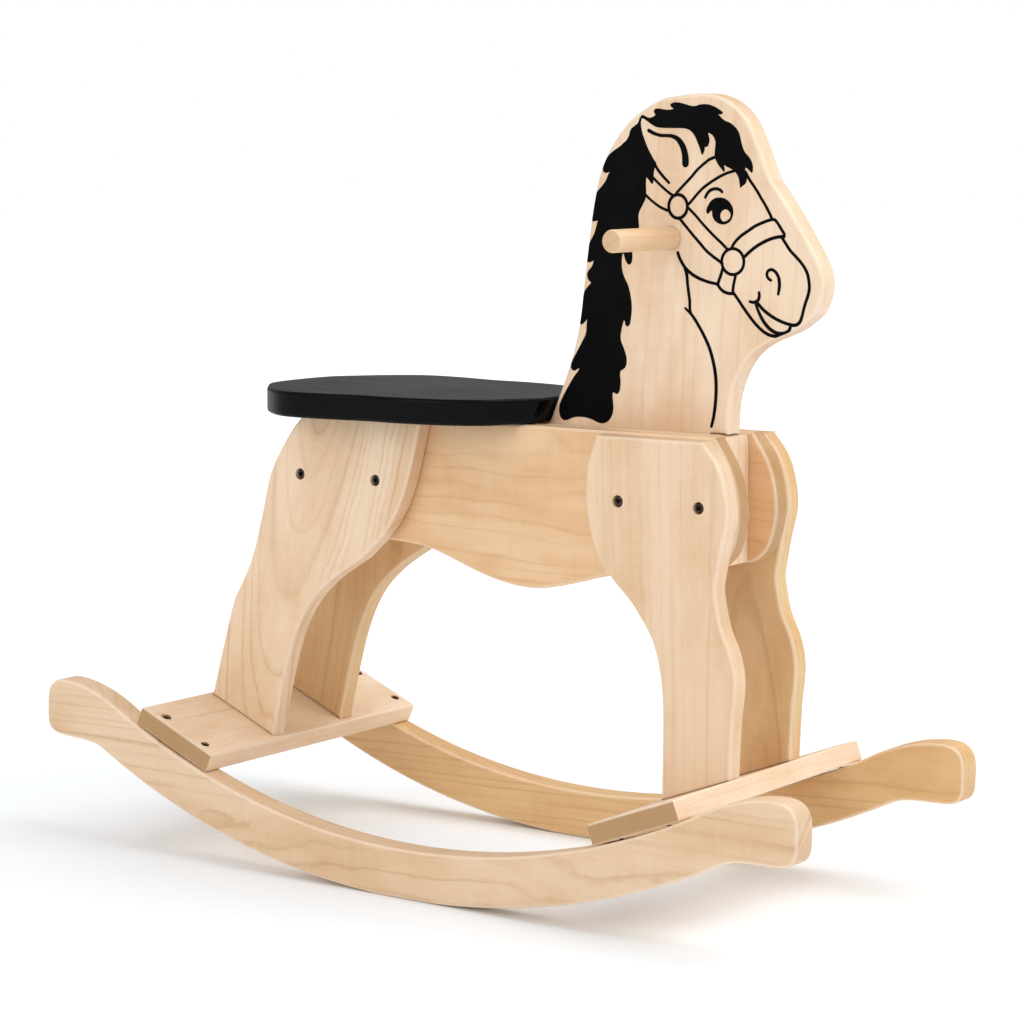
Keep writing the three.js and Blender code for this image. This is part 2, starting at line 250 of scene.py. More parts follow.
# %% The floor
def white_paper():
    b = Bench("white_paper")
    place = b.place()
    x, y = b.dot(place, (1, 0, 0)), b.dot(place, (0, 1, 0))
    away = b.math("SQRT", x * x + y * y)
    seen = b.node("LightPath", "Is Camera Ray")
    glow = b.spread(away, 0.55, 1.9, 0.0, 0.5, smooth=True) * seen
    tooth = b.noise(place, 700.0)
    colour = b.blend(b.spread(tooth, 0.3, 0.7), (0.93, 0.96, 0.99, 1), (0.94, 0.97, 1.0, 1))
    b.bump(tooth, 0.05, 0.0001)
    return b.set(Base_Color=colour, Roughness=0.9, Specular_IOR_Level=0.1,
                 Emission_Color=(1, 1, 1, 1), Emission_Strength=glow)


REACH = 14.0
mesh = bpy.data.meshes.new("floor")
corners = [(-REACH, -REACH, 0), (REACH, -REACH, 0), (REACH, REACH, 0), (-REACH, REACH, 0)]
mesh.from_pydata(corners, [], [(0, 1, 2, 3)])
mesh.materials.append(white_paper())
floor = in_scene("floor", mesh)
print("the floor is laid")

# %% [markdown]
# Maple
#
# Maple is pale, with a soft figure: faint brown lines where each year's growth ends, fine
# streaks along the fibres, and clouds of warmer wood. A painted plank pattern would break at
# every corner. Here each board is cut from a tree that exists only as arithmetic: distance
# from the tree's middle gives the year lines, so a face shows arches, an edge straight lines
# and a sawn end curves, all meeting at the corners.

# %% Maple, cut from a tree of its own
PALE = rgb("F4DABE")
WARM = rgb("E8C6A2")
YEAR_LINE = rgb("BC8B52")
# sawn ends: the darker colour of end grain, deepened further as painted shade
END_WOOD_AND_SHADE = rgb("A57A45")
# pale wood for the curl figure; on rounded edges it is also a painted highlight
PALE_CURL_AND_EDGE_HIGHLIGHT = rgb("F8E6D0")
FLECK = rgb("9A6C3F")


def maple(node, grain, face, heart=(0.0, 0.07), lean=0.03, sway=0.004, year=0.008, figure=0.6,
          tint=(1, 1, 1), ends=0.3):
    """grain and face are directions. heart is where the tree's middle lies: across the face and
    behind it. lean tips the tree against the board, which makes the arches. figure is how
    strongly the years show, and ends is how dark the sawn ends are made, end grain and painted
    shade together. tint multiplies the colour; for the far rocker and far legs it is painted
    shade."""
    b = Bench("maple_" + node)
    grain, face = Vector(grain).normalized(), Vector(face).normalized()
    across = grain.cross(face)
    middle = sum(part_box(node), Vector()) / 2
    luck = random.Random(node)
    shift = [luck.uniform(-3, 3) for _ in range(3)]
    place = b.place()
    from_middle = b.dot(place, grain) - middle.dot(grain)
    along = from_middle + shift[0]
    side = b.dot(place, across) - middle.dot(across)
    deep = b.dot(place, face) - middle.dot(face)

    def stretched(far, near, third=None):
        return b.vector(along * far, side * near, deep * near if third is None else third)

    # how far each point is from the tree's middle, with the slow wander of a real trunk
    sways = b.noise(stretched(5.0, 14.0), 1.0, 1.5)
    ripples = b.noise(stretched(26.0, 60.0))
    wander = (sways - 0.5) * (sway * 4) + (ripples - 0.5) * 0.004
    from_side = side - heart[0] + wander
    from_deep = deep + heart[1] + (from_middle * lean + wander)
    reach = b.math("SQRT", from_side * from_side + from_deep * from_deep)

    # years: a broad pale part, then a thin brown end
    years = b.math("DIVIDE", reach, year)
    uneven = b.noise(b.vector(years * 0.6, shift[1], 0.0), 1.0, 1.0)
    line = b.curve(b.math("FRACT", years + uneven * 2.0),
                   [(0.0, 0.85), (0.05, 0.22), (0.30, 0.03), (0.80, 0.14), (0.96, 1.0)])
    strong = b.noise(b.vector(along * 5.0, years * 0.8, shift[2]), 1.0, 1.0)
    line = line * b.spread(strong, 0.36, 0.66, 0.30 * figure, figure)

    # fibres, flecks, curl and clouds
    fibre = b.noise(stretched(20.0, 900.0), 1.0, 2.0, 0.55)
    fleck = b.spread(b.noise(stretched(110.0, 1000.0), 1.0, 1.0), 0.70, 0.80)
    cloud = b.spread(b.noise(stretched(7.0, 20.0), 1.0, 3.0, 0.6), 0.36, 0.68, smooth=True)
    curl = b.noise(stretched(150.0, 28.0, 0.0), 1.0, 1.5)

    colour = b.blend(cloud, PALE, WARM)
    colour = b.blend(line * 0.62, colour, YEAR_LINE)
    colour = b.blend(b.spread(fibre, 0.3, 0.75, 0.0, 0.13), colour, YEAR_LINE)
    colour = b.blend(b.spread(curl, 0.35, 0.7, 0.0, 0.12), colour, PALE_CURL_AND_EDGE_HIGHLIGHT)
    colour = b.blend(fleck * 0.22, colour, FLECK)
    colour = b.blend(1.0, colour, tuple(tint) + (1,), "MULTIPLY")

    # sawn ends go darker, partly end grain under lacquer and partly painted shade; the middle of
    # each rounded edge goes paler, partly sanded wood and partly a painted highlight
    end_grain_and_shade = b.math("ABSOLUTE", b.dot(b.node("NewGeometry", "Normal"), grain))
    end_grain_and_shade = b.spread(end_grain_and_shade, 0.45, 0.92, 0.0, ends, smooth=True)
    eased = b.eased()
    colour = b.blend(end_grain_and_shade, colour, END_WOOD_AND_SHADE)
    colour = b.blend(eased * 0.5, colour, PALE_CURL_AND_EDGE_HIGHLIGHT)
    rough = b.spread(fibre, 0.2, 0.8, 0.40, 0.52) + end_grain_and_shade * 0.1 - eased * 0.06
    b.bump(fibre * 0.6 + line * 0.4, 0.18, 0.0002)
    return b.set(Base_Color=colour, Roughness=rough, Coat_Weight=0.10, Coat_Roughness=0.28,
                 Specular_IOR_Level=0.35)


ALONG, ACROSS, UP = (1, 0, 0), (0, 1, 0), (0, 0, 1)
print("maple can be cut")

# %% [markdown]
# Paint, print and steel
#
# The seat is brushed with black paint that dries with a slight orange peel. The drawing on the
# head is a thin black print, a little uneven where the ink lay thicker. Bolts and screws are
# steel, blackened or zinc plated, with fine turning marks. Each could be one flat colour, but
# small changes of gloss are what makes it look like a real surface.

# %% Paint, print and steel
def black_paint():
    b = Bench("black_seat_paint")
    place = b.place()
    peel = b.noise(place, 420.0, 2.0, 0.6)
    brush = b.noise(b.vector(b.dot(place, ALONG) * 9.0, b.dot(place, ACROSS) * 160.0, 0.0))
    rubbed = b.spread(b.noise(place, 9.0, 3.0, 0.6), 0.4, 0.7, smooth=True)
    colour = b.blend(rubbed * 0.5, rgb("070708"), rgb("0A0A0B"))
    # painted highlight: the middle of each rounded edge of the seat is made a little lighter
    colour = b.blend(b.eased() * 0.25, colour, rgb("0E0E0F"))
    rough = b.spread(peel, 0.3, 0.7, 0.24, 0.30) + rubbed * 0.05
    b.bump(peel + brush * 0.7, 0.03, 0.00005)
    return b.set(Base_Color=colour, Roughness=rough, Specular_IOR_Level=0.11)


def black_print():
    b = Bench("black_print")
    place = b.place()
    ink = b.spread(b.noise(place, 26.0, 4.0, 0.6), 0.38, 0.7, smooth=True)
    grit = b.noise(place, 900.0, 1.0)
    rough = b.spread(grit, 0.3, 0.7, 0.52, 0.62) - ink * 0.08
    b.bump(grit, 0.08, 0.0001)
    return b.set(Base_Color=b.blend(ink, rgb("040404"), rgb("090909")), Roughness=rough,
                 Specular_IOR_Level=0.06)


def steel(name, dark, light, gloss):
    b = Bench(name)
    place = b.place()
    marks = b.noise(place, 2600.0)
    dull = b.spread(b.noise(place, 180.0), 0.35, 0.7, smooth=True)
    rough = b.spread(marks, 0.3, 0.7, gloss, gloss + 0.12) + dull * 0.12
    b.bump(marks, 0.1, 0.00005)
    return b.set(Base_Color=b.blend(dull, rgb(dark), rgb(light)), Roughness=rough, Metallic=1.0)


seat_paint = black_paint()
ink = black_print()
black_steel = steel("blackened_steel", "3A332D", "6E655C", 0.34)
zinc_steel = steel("zinc_plated_steel", "6E675E", "9A938A", 0.3)
print("paint, print and steel are mixed")

# %% [markdown]
# Reading a board's outline from the frame
#
# A frame part is a closed mesh of triangles. The edges that have one triangle on its flat face
# and one off it, walked in order, give its outline and the rim of every hole. A hole's rim has
# only a few sides, so it is kept as a middle and a radius and drawn round again later.

# %% Reading an outline
def frame_mesh(node):
    mesh = bmesh.new()
    mesh.from_mesh(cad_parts[node].data)
    bmesh.ops.remove_doubles(mesh, verts=mesh.verts, dist=1e-6)
    mesh.normal_update()
    return mesh


def rims(node, direction):
    """The loops of points that bound the face of a node that looks in this direction."""
    mesh = frame_mesh(node)
    facing = [f for f in mesh.faces if f.normal.dot(direction) > 0.999]
    level = max(f.calc_center_median().dot(direction) for f in facing)
    flat = [f for f in facing if f.calc_center_median().dot(direction) > level - 2e-5]
    paths = {}
    for face in flat:
        for loop in face.loops:
            if not any(g in flat for g in loop.edge.link_faces if g is not face):
                paths[loop.vert] = loop.link_loop_next.vert
    found = []
    while paths:
        start, here = next(iter(paths.items()))
        loop = [start.co.copy()]
        del paths[start]
        while here is not start and here in paths:
            loop.append(here.co.copy())
            here, gone = paths[here], here
            del paths[gone]
        found.append(loop)
    mesh.free()
    return found, level


def area2(flat):
    return sum(a[0] * b[1] - b[0] * a[1] for a, b in zip(flat, flat[1:] + flat[:1]))


class Plan:
    """A board drawn flat: its outline and holes in two directions, and its two levels."""

    def __init__(self, node, face, across):
        self.face = Vector(face).normalized()
        self.u = (Vector(across) - Vector(across).dot(self.face) * self.face).normalized()
        self.v = self.face.cross(self.u)
        front, self.high = rims(node, self.face)
        back, low = rims(node, -self.face)
        self.low = -low
        self.outline, self.holes = self.sort(front)
        _, self.back_holes = self.sort(back)

    def sort(self, loops):
        flats = [[(p.dot(self.u), p.dot(self.v)) for p in loop] for loop in loops]
        flats.sort(key=lambda flat: -abs(area2(flat)))
        outline = flats[0] if area2(flats[0]) > 0 else flats[0][::-1]
        holes = []
        for rim in flats[1:]:
            middle = Vector((sum(p[0] for p in rim), sum(p[1] for p in rim))) / len(rim)
            radius = max((Vector(p) - middle).length for p in rim)
            holes.append((middle, radius))
        return [Vector(p) for p in outline], holes

    def point(self, flat, level):
        return flat[0] * self.u + flat[1] * self.v + level * self.face


print("rocker outline has", len(Plan("rocker_right", (0, -1, 0), ALONG).outline), "points")

# %% [markdown]
# Rounding a board over
#
# A router runs along each edge and leaves a quarter circle. A Bevel modifier could do this,
# but it rounds the rims of holes too and leaves thin faces across the flats. The outline is
# already in hand, so the round-over is drawn directly: ring after ring, each a little further
# in and nearer the face. Square corners, such as a leg's foot, keep a much smaller radius. The
# mesh carries exact normals, so the flats stay flat, and it stores how far round the edge each
# point is. The maple and the seat paint use it to make the middle of each rounded edge paler,
# partly sanded wood and partly a painted highlight.

# %% Helpers for the round-over
def turn_at(outline, i):
    a, b, c = outline[i - 1], outline[i], outline[(i + 1) % len(outline)]
    return (b - a).angle_signed(c - b, 0.0)


def smoothed(outline, spacing=2.2 * mm, soften=3.0 * mm, square=math.radians(35)):
    """Walks the outline in small even steps and sands away every slight corner. Square corners
    stay where they are."""
    spots, fixed = [], []
    for i, a in enumerate(outline):
        b = outline[(i + 1) % len(outline)]
        steps = max(1, round((b - a).length / spacing))
        for k in range(steps):
            spots.append(a.lerp(b, k / steps))
            fixed.append(k == 0 and abs(turn_at(outline, i)) > square)
    for _ in range(max(1, round((soften / spacing) ** 2 * 2))):
        near_square = [fixed[i] or fixed[i - 1] or fixed[(i + 1) % len(fixed)]
                       for i in range(len(fixed))]
        spots = [spot if held else (spots[i - 1] + 2 * spot + spots[(i + 1) % len(spots)]) / 4
                 for i, (spot, held) in enumerate(zip(spots, near_square))]
    return spots


def outward(outline, i):
    """The normals of the two sides that meet at a point, and the mitre between them."""
    a, b, c = outline[i - 1], outline[i], outline[(i + 1) % len(outline)]
    first, second = (b - a).normalized(), (c - b).normalized()
    n1, n2 = Vector((first.y, -first.x)), Vector((second.y, -second.x))
    return n1, n2, (n1 + n2) / (1 + n1.dot(n2))


# %% Building a rounded board
class Board:
    """Gathers points and faces with the exact normal at every corner."""

    def __init__(self):
        self.points, self.faces, self.normals, self.eased = [], [], [], []

    def add(self, points, eased=0.0):
        start = len(self.points)
        self.points += points
        self.eased += [eased] * len(points)
        return list(range(start, len(self.points)))

    def face(self, corners, normals):
        self.faces.append(corners)
        self.normals += normals

    def strip(self, lower, upper, low_normals, high_normals):
        """A closed band between two rings. The normals come in pairs: one for the side that
        ends at the point and one for the side that starts there."""
        count = len(lower)
        for i in range(count):
            j = (i + 1) % count
            self.face([lower[i], lower[j], upper[j], upper[i]],
                      [low_normals[i][1], low_normals[j][0],
                       high_normals[j][0], high_normals[i][1]])

    def band(self, lower, upper):
        """A closed band between two rings, without normals of its own."""
        for i in range(len(lower)):
            j = (i + 1) % len(lower)
            self.faces.append([lower[i], lower[j], upper[j], upper[i]])

    def make(self, name, material):
        mesh = bpy.data.meshes.new(name)
        mesh.from_pydata(self.points, [], self.faces)
        mesh.shade_smooth()
        layer = mesh.attributes.new("eased", "FLOAT", "POINT")
        layer.data.foreach_set("value", self.eased)
        mesh.update()
        if len(self.normals) == len(mesh.loops):
            mesh.normals_split_custom_set([n.normalized() for n in self.normals])
        mesh.materials.append(material)
        return in_scene(name, mesh)


def circle(middle, radius, sides=32):
    turns = [math.tau * k / sides for k in range(sides)]
    return [middle + radius * Vector((math.cos(turn), math.sin(turn))) for turn in turns]


def rounded_board(plan, radius, corner, front_holes=(), back_holes=(), through=(), depth=7 * mm,
                  steps=5, sharp=math.radians(28)):
    board = Board()
    outline = smoothed(plan.outline)
    count = len(outline)
    bends = [abs(turn_at(outline, i)) for i in range(count)]
    sides = [outward(outline, i) for i in range(count)]
    radii = [corner if bends[i] > sharp else radius for i in range(count)]
    rings = {}
    for face_sign, level in ((1, plan.high), (-1, plan.low)):
        rings[face_sign] = []
        for k in range(steps + 1):
            turn = math.pi / 2 * k / steps
            points, normals = [], []
            for i in range(count):
                inset = radii[i] * (1 - math.cos(turn))
                drop = radii[i] * (1 - math.sin(turn))
                flat = outline[i] - sides[i][2] * inset
                points.append(plan.point(flat, level - face_sign * drop))
                pair = []
                for n in sides[i][:2]:
                    if bends[i] <= sharp:
                        n = (sides[i][0] + sides[i][1]).normalized()
                    out = n.x * plan.u + n.y * plan.v
                    pair.append(math.cos(turn) * out + face_sign * math.sin(turn) * plan.face)
                normals.append(pair)
            # this value peaks halfway round the edge, where the maple and the seat paint put a
            # painted highlight
            ids = board.add(points, math.sin(2 * turn) ** 2)
            rings[face_sign].append((ids, normals))
    low, high = rings[-1][0], rings[1][0]
    board.strip(low[0], high[0], low[1], high[1])
    for k in range(steps):
        (a, na), (b, nb) = rings[1][k:k + 2]
        board.strip(a, b, na, nb)
        (a, na), (b, nb) = rings[-1][k:k + 2]
        board.strip(b, a, nb, na)
    through_rings = {1: [], -1: []}
    for face_sign, level, holes in ((1, plan.high, front_holes), (-1, plan.low, back_holes)):
        normal = plan.face * face_sign
        loops = [rings[face_sign][-1][0]]
        for middle, size in list(holes) + list(through):
            rim = circle(middle, size)
            ids = board.add([plan.point(p, level) for p in rim])
            loops.append(ids)
            walls = [(-((p - middle).x * plan.u + (p - middle).y * plan.v).normalized(),) * 2
                     for p in rim]
            if (middle, size) in through:
                through_rings[face_sign].append((ids, walls))
                continue
            floor = board.add([plan.point(p, level - face_sign * depth) for p in rim])
            ends = (ids, floor) if face_sign > 0 else (floor, ids)
            board.strip(*ends, walls, walls)
            board.face(floor[::face_sign], [normal] * len(floor))
        order = [i for loop in loops for i in loop]
        flat_loops = [[board.points[i] for i in loop] for loop in loops]
        for triangle in tessellate_polygon(flat_loops):
            corners = [order[i] for i in triangle]
            a, b, c = (Vector(board.points[i]) for i in corners)
            if (b - a).cross(c - a).dot(normal) < 0:
                corners.reverse()
            board.face(corners, [normal] * 3)
    for (top, walls), (bottom, _) in zip(*through_rings.values()):
        board.strip(top, bottom, walls, walls)
    return board


def settle(piece, slot, *nodes):
    """The finished piece rides with the horse and stands for its frame parts."""
    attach(piece, "root")
    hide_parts(*nodes)
    low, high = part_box(nodes[0])
    print(piece.name, "made,", len(piece.data.polygons), "faces,",
          "x".join(str(round(s * 1000)) for s in high - low), "mm")
    return piece


# %% [markdown]
# Rockers
#
# Each rocker is one deep board sawn to an arc, with an upturned nose at both ends that stops
# the horse from going over. Its edges are rounded over by about 3 mm. The grain runs along it,
# and the far one is tinted darker and yellower, which is painted shade and painted bounce light.

# %% Rockers
EDGE = 3.2 * mm
SQUARE = 0.8 * mm
SIDES = {"right": -1, "left": 1}
# the far rocker's darker, yellower tint is painted shade and painted bounce light
ROCKER_TINTS_AND_FAR_SHADE = {"right": (0.90, 0.86, 0.79), "left": (0.87, 0.74, 0.50)}

for side, sign in SIDES.items():
    plan = Plan(f"rocker_{side}", (0, sign, 0), ALONG)
    wood = maple(f"rocker_{side}", (1, 0, 0.02), (0, sign, 0), (0.03, 0.05), 0.02, 0.004,
                 0.007, 0.7, ROCKER_TINTS_AND_FAR_SHADE[side], 0.12)
    piece = rounded_board(plan, EDGE, SQUARE).make(f"rounded_rocker_{side}", wood)
    settle(piece, "maple", f"rocker_{side}")

# %% [markdown]
# Legs
#
# The four legs are sawn with the grain upright, so each broad face shows arches. A leg's foot
# stays square where it stands on a cross board. Two holes in the outer face are opened out for
# the heads of the bolts. A table of trees keeps the boards different, and gives the two far legs
# a darker, yellower tint, which is painted shade.

# %% Legs
# heart, lean, sway, figure and tint of each leg; the far legs' tints are painted shade
LEG_TREES_AND_FAR_SHADE = {
    "rear_leg_right": ((-0.024, 0.034), -0.15, 0.004, 1.0, (1, 0.99, 0.96)),
    "rear_leg_left": ((-0.02, 0.050), -0.05, 0.005, 0.6, (0.88, 0.79, 0.57)),
    "front_leg_right": ((0.075, 0.040), 0.03, 0.003, 0.35, (0.95, 0.92, 0.87)),
    "front_leg_left": ((-0.03, 0.055), 0.04, 0.004, 0.5, (0.89, 0.80, 0.58)),
}
for node, (heart, lean, sway, figure, tint) in LEG_TREES_AND_FAR_SHADE.items():
    sign = SIDES[node.split("_")[-1]]
    tilt = 0.22 if node.startswith("rear") else -0.05
    plan = Plan(node, (0, sign, 0), ALONG)
    wood = maple(node, (tilt, 0, 1), (0, sign, 0), heart, lean, sway, 0.008, figure, tint)
    board = rounded_board(plan, EDGE, SQUARE, front_holes=plan.holes)
    settle(board.make(f"rounded_{node}", wood), "maple", node)

# %% [markdown]
# Body sides and the boards between them
#
# Two long boards with a curved belly make the body, with their grain level. A chest panel, a
# tail block, two packers beside the neck and a cleat under the seat fill the space between
# them. All are plain boards, so one short table can say which way each one lies.

# %% Body sides
for side, sign in SIDES.items():
    node = f"body_side_{side}"
    plan = Plan(node, (0, sign, 0), ALONG)
    wood = maple(node, (1, 0, -0.03), (0, sign, 0), (-0.06, 0.035), 0.05, 0.006, 0.011, 0.5,
                 (0.96, 0.84, 0.67), 0.70)
    settle(rounded_board(plan, EDGE, SQUARE).make(f"rounded_{node}", wood), "maple", node)

# %% Boards between the sides
BETWEEN = {
    "chest_panel": (ACROSS, ALONG, UP, "maple"),
    "tail_block": (ACROSS, ALONG, ALONG, "hidden_maple"),
    "neck_packer_right": (UP, ALONG, ALONG, "hidden_maple"),
    "neck_packer_left": (UP, ALONG, ALONG, "hidden_maple"),
    "seat_cleat": (UP, ALONG, ACROSS, "hidden_maple"),
}
for node, (face, across, grain, slot) in BETWEEN.items():
    plan = Plan(node, face, across)
    wood = maple(node, grain, ACROSS if grain != ACROSS else UP, (0.05, 0.05), 0.02, 0.003)
    settle(rounded_board(plan, 0.8 * mm, 0.8 * mm).make(f"eased_{node}", wood), slot, node)

# %% [markdown]
# Cross boards
#
# The two cross boards lie on the rockers, tipped to the slope there, with their grain running
# from rocker to rocker. Their sawn ends show darker end wood. Four countersunk screws go down
# through each into the rockers. The tilt is read from the frame part's own broad face.

# %% Cross boards
def broad_face(node):
    mesh = frame_mesh(node)
    best = max((f for f in mesh.faces if f.normal.z > 0.5), key=lambda f: f.calc_area())
    normal = best.normal.copy()
    mesh.free()
    return normal


for end in ("rear", "front"):
    node = f"{end}_cross_board"
    face = broad_face(node)
    plan = Plan(node, face, ALONG)
    wood = maple(node, ACROSS, face, (0.02, 0.055), 0.03, 0.003, 0.007, 0.5,
                 (1.04, 1.04, 1.04), 0.85)
    pilots = [(middle, size * 0.88) for middle, size in plan.holes]
    piece = rounded_board(plan, 2.2 * mm, 2.2 * mm, front_holes=pilots, depth=4.2 * mm)
    settle(piece.make(f"rounded_{node}", wood), "maple", node)

# %% [markdown]
# Neck and head
#
# One tall board makes the neck and the head. Its grain runs upright, straight and quiet, with
# a few tiny flecks. The handle passes through a hole behind the cheek.

# %% Neck and head
neck_plan = Plan("neck_and_head", (0, -1, 0), ALONG)
neck_wood = maple("neck_and_head", (0.05, 0, 1), (0, -1, 0), (0.16, 0.05), 0.02, 0.004, 0.012,
                  0.3)
NECK_EDGE = 3.6 * mm
neck = rounded_board(neck_plan, NECK_EDGE, SQUARE, through=neck_plan.holes)
settle(neck.make("rounded_neck_and_head", neck_wood), "maple", "neck_and_head")

# %% [markdown]
# Seat
#
# The seat is a saddle-shaped board with a narrow front, well rounded above and below and
# painted black. Its front end is sawn to lie against the sloping back of the neck. The outline
# is read at the top, and the front end is drawn back a little with depth.

# %% Seat
seat_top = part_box("seat")[1]
seat_plan = Plan("seat", UP, ALONG)
seat_board = rounded_board(seat_plan, 2.8 * mm, 1.5 * mm, steps=6)
NECK_SLOPE = 0.42


def follow_neck(point):
    start, end = seat_top.x - 34 * mm, seat_top.x - 4 * mm
    amount = min(max((point.x - start) / (end - start), 0), 1)
    amount = amount * amount * (3 - 2 * amount)
    point.x -= NECK_SLOPE * (seat_top.z - point.z) * amount
    return point


seat_board.points = [follow_neck(Vector(p)) for p in seat_board.points]
settle(seat_board.make("saddle_seat", seat_paint), "black_paint", "seat")

# %% [markdown]
# Turned pieces
#
# The handle, the bolt heads and the screw heads are turned on a lathe. A Screw modifier would
# spin a profile too, but a short loop keeps the sockets in the heads easy to join. The handle
# is a pale dowel with rounded ends. A bolt has a low domed head with a six-sided socket, and a
# wood screw a flat head with a cross.

# %% Turning
def basis(axis):
    w = Vector(axis).normalized()
    u = w.orthogonal().normalized()
    return u, w.cross(u), w


def turned(profile, middle, axis, sides, closed):
    """profile is [(radius, height)...] along the axis. closed says if the last end is flat."""
    u, v, w = basis(axis)
    board = Board()
    rings = []
    for radius, height in profile:
        ring = [middle + height * w + radius * (math.cos(math.tau * k / sides) * u
                                               + math.sin(math.tau * k / sides) * v)
                for k in range(sides)]
        rings.append(board.add(ring))
    for low, high in zip(rings, rings[1:]):
        board.band(low, high)
    board.faces.append(rings[0][::-1])
    if closed:
        board.faces.append(rings[-1])
    return board, rings


def smooth_by_angle(piece, degrees=40):
    piece.data.set_sharp_from_angle(angle=math.radians(degrees))


low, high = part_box("handle_dowel")
radius, half = (high.x - low.x) / 2, (high.y - low.y) / 2
ease, steps, profile = 3.0 * mm, 6, []
for k in range(steps + 1):
    turn = math.pi / 2 * k / steps
    profile.append((radius - ease * (1 - math.sin(turn)), -half + ease * (1 - math.cos(turn))))
profile += [(r, -h) for r, h in reversed(profile)]
board, _ = turned(profile, (low + high) / 2, ACROSS, 48, True)
wood = maple("handle_dowel", ACROSS, UP, (0.03, 0.05), 0.01, 0.002, figure=0.4,
             tint=(0.97, 0.93, 0.86))
piece = board.make("turned_handle", wood)
smooth_by_angle(piece, 50)
settle(piece, "maple", "handle_dowel")

# %% A socket sunk in a head
HEAD_SIDES = 24


def fastener(name, node, top, axis, profile, reaches, taper, depth, metal):
    """A turned fastener with a socket in its head. reaches are the socket's half widths all the
    way round, and taper is how much narrower its floor is."""
    board, rings = turned(profile, top, axis, HEAD_SIDES, False)
    u, v, w = basis(axis)
    rim, floor = [], []
    for k, reach in enumerate(reaches):
        turn = math.tau * k / HEAD_SIDES
        spot = reach * (math.cos(turn) * u + math.sin(turn) * v)
        rim.append(top + spot)
        floor.append(top + spot * taper - depth * w)
    rim, floor = board.add(rim), board.add(floor)
    board.band(rings[-1], rim)
    board.band(rim, floor)
    board.faces.append(floor)
    piece = board.make(name, metal)
    smooth_by_angle(piece)
    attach(piece, "root")
    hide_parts(node)
    return piece


# %% Bolts with a six-sided socket
def bolt(node, axis):
    axis = Vector(axis)
    low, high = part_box(node)
    top = (low + high) / 2 + axis * abs((high - low).dot(axis)) / 2
    length, shank, radius, head = abs((high - low).dot(axis)), 3.0 * mm, 4.3 * mm, 5.0 * mm
    profile = [(shank, -length), (shank, -head), (radius, -head), (radius, -1.4 * mm),
               (radius - 0.5 * mm, -0.55 * mm), (radius - 1.3 * mm, -0.1 * mm),
               (radius - 1.7 * mm, 0.0)]
    sixth = math.pi / 3
    flat = 2.4 * mm * math.cos(sixth / 2)
    turns = [math.tau * k / HEAD_SIDES for k in range(HEAD_SIDES)]
    reaches = [flat / math.cos(turn % sixth - sixth / 2) for turn in turns]
    return fastener(f"socket_{node}", node, top, axis, profile, reaches, 1.0, 2.6 * mm,
                    black_steel)


bolts = [bolt(f"leg_bolt_{end}_{side}_{k}", (0, sign, 0))
         for end in ("rear", "front") for side, sign in SIDES.items() for k in (1, 2)]
print(len(bolts), "bolts made")

# %% Screws with a cross in the head
CROSS = (2.3, 1.4, 1.1, 1.0, 1.1, 1.4)


def screw(node, axis, metal):
    """A countersunk wood screw: flat head, cone, thread core and point, with a cross cut."""
    axis = Vector(axis).normalized()
    mesh = frame_mesh(node)
    ends = sorted(v.co.dot(axis) for v in mesh.verts)
    spine = sum((v.co for v in mesh.verts), Vector()) / len(mesh.verts)
    spine -= axis * spine.dot(axis)
    crown = [v.co for v in mesh.verts if v.co.dot(axis) > ends[-1] - 1e-5]
    radius = 0.86 * max((p - spine - axis * p.dot(axis)).length for p in crown)
    mesh.free()
    top, length, core = spine + axis * ends[-1], ends[-1] - ends[0], 1.9 * mm
    profile = [(0.3 * mm, -length), (core, -length + 6 * mm), (core, -4.2 * mm),
               (radius * 0.5, -3.0 * mm), (radius, -0.35 * mm), (radius - 0.25 * mm, 0.0)]
    reaches = [CROSS[k % len(CROSS)] * mm for k in range(HEAD_SIDES)]
    return fastener(f"cross_{node}", node, top, axis, profile, reaches, 0.45, 2.0 * mm,
                    metal)


screws = []
for end in ("rear", "front"):
    face = broad_face(f"{end}_cross_board")
    for side in SIDES:
        for k in (1, 2):
            screws.append(screw(f"rocker_screw_{end}_{side}_{k}", face, black_steel))
            screws.append(screw(f"foot_screw_{end}_{side}_{k}", -face, zinc_steel))
print(len(screws), "screws made")

# %% [markdown]
# Hidden fasteners
#
# The seat screws and the threaded sleeves in the body sides are never seen. They could be
# turned too, but their frame shapes are already right, so they only get the zinc finish.

# %% Hidden fasteners
for name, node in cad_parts.items():
    if name.startswith(("bolt_insert", "seat_screw")):
        for slot in node.material_slots:
            slot.material = zinc_steel
print("sleeves and seat screws are plated")

# %% [markdown]
# The drawing on the head
#
# The mane, the bridle and the face are one black print on each side of the head. It could be
# painted in the wood's own material, but its edges have to stay crisp at any distance, so it
# is a film of real shapes about a quarter of a millimetre thick. Points are measured from the
# middle of the handle, forward and then up. A filled shape is a list of runs that meet at
# sharp corners, one for each lock of hair. A brush stroke is a middle line with its widths.

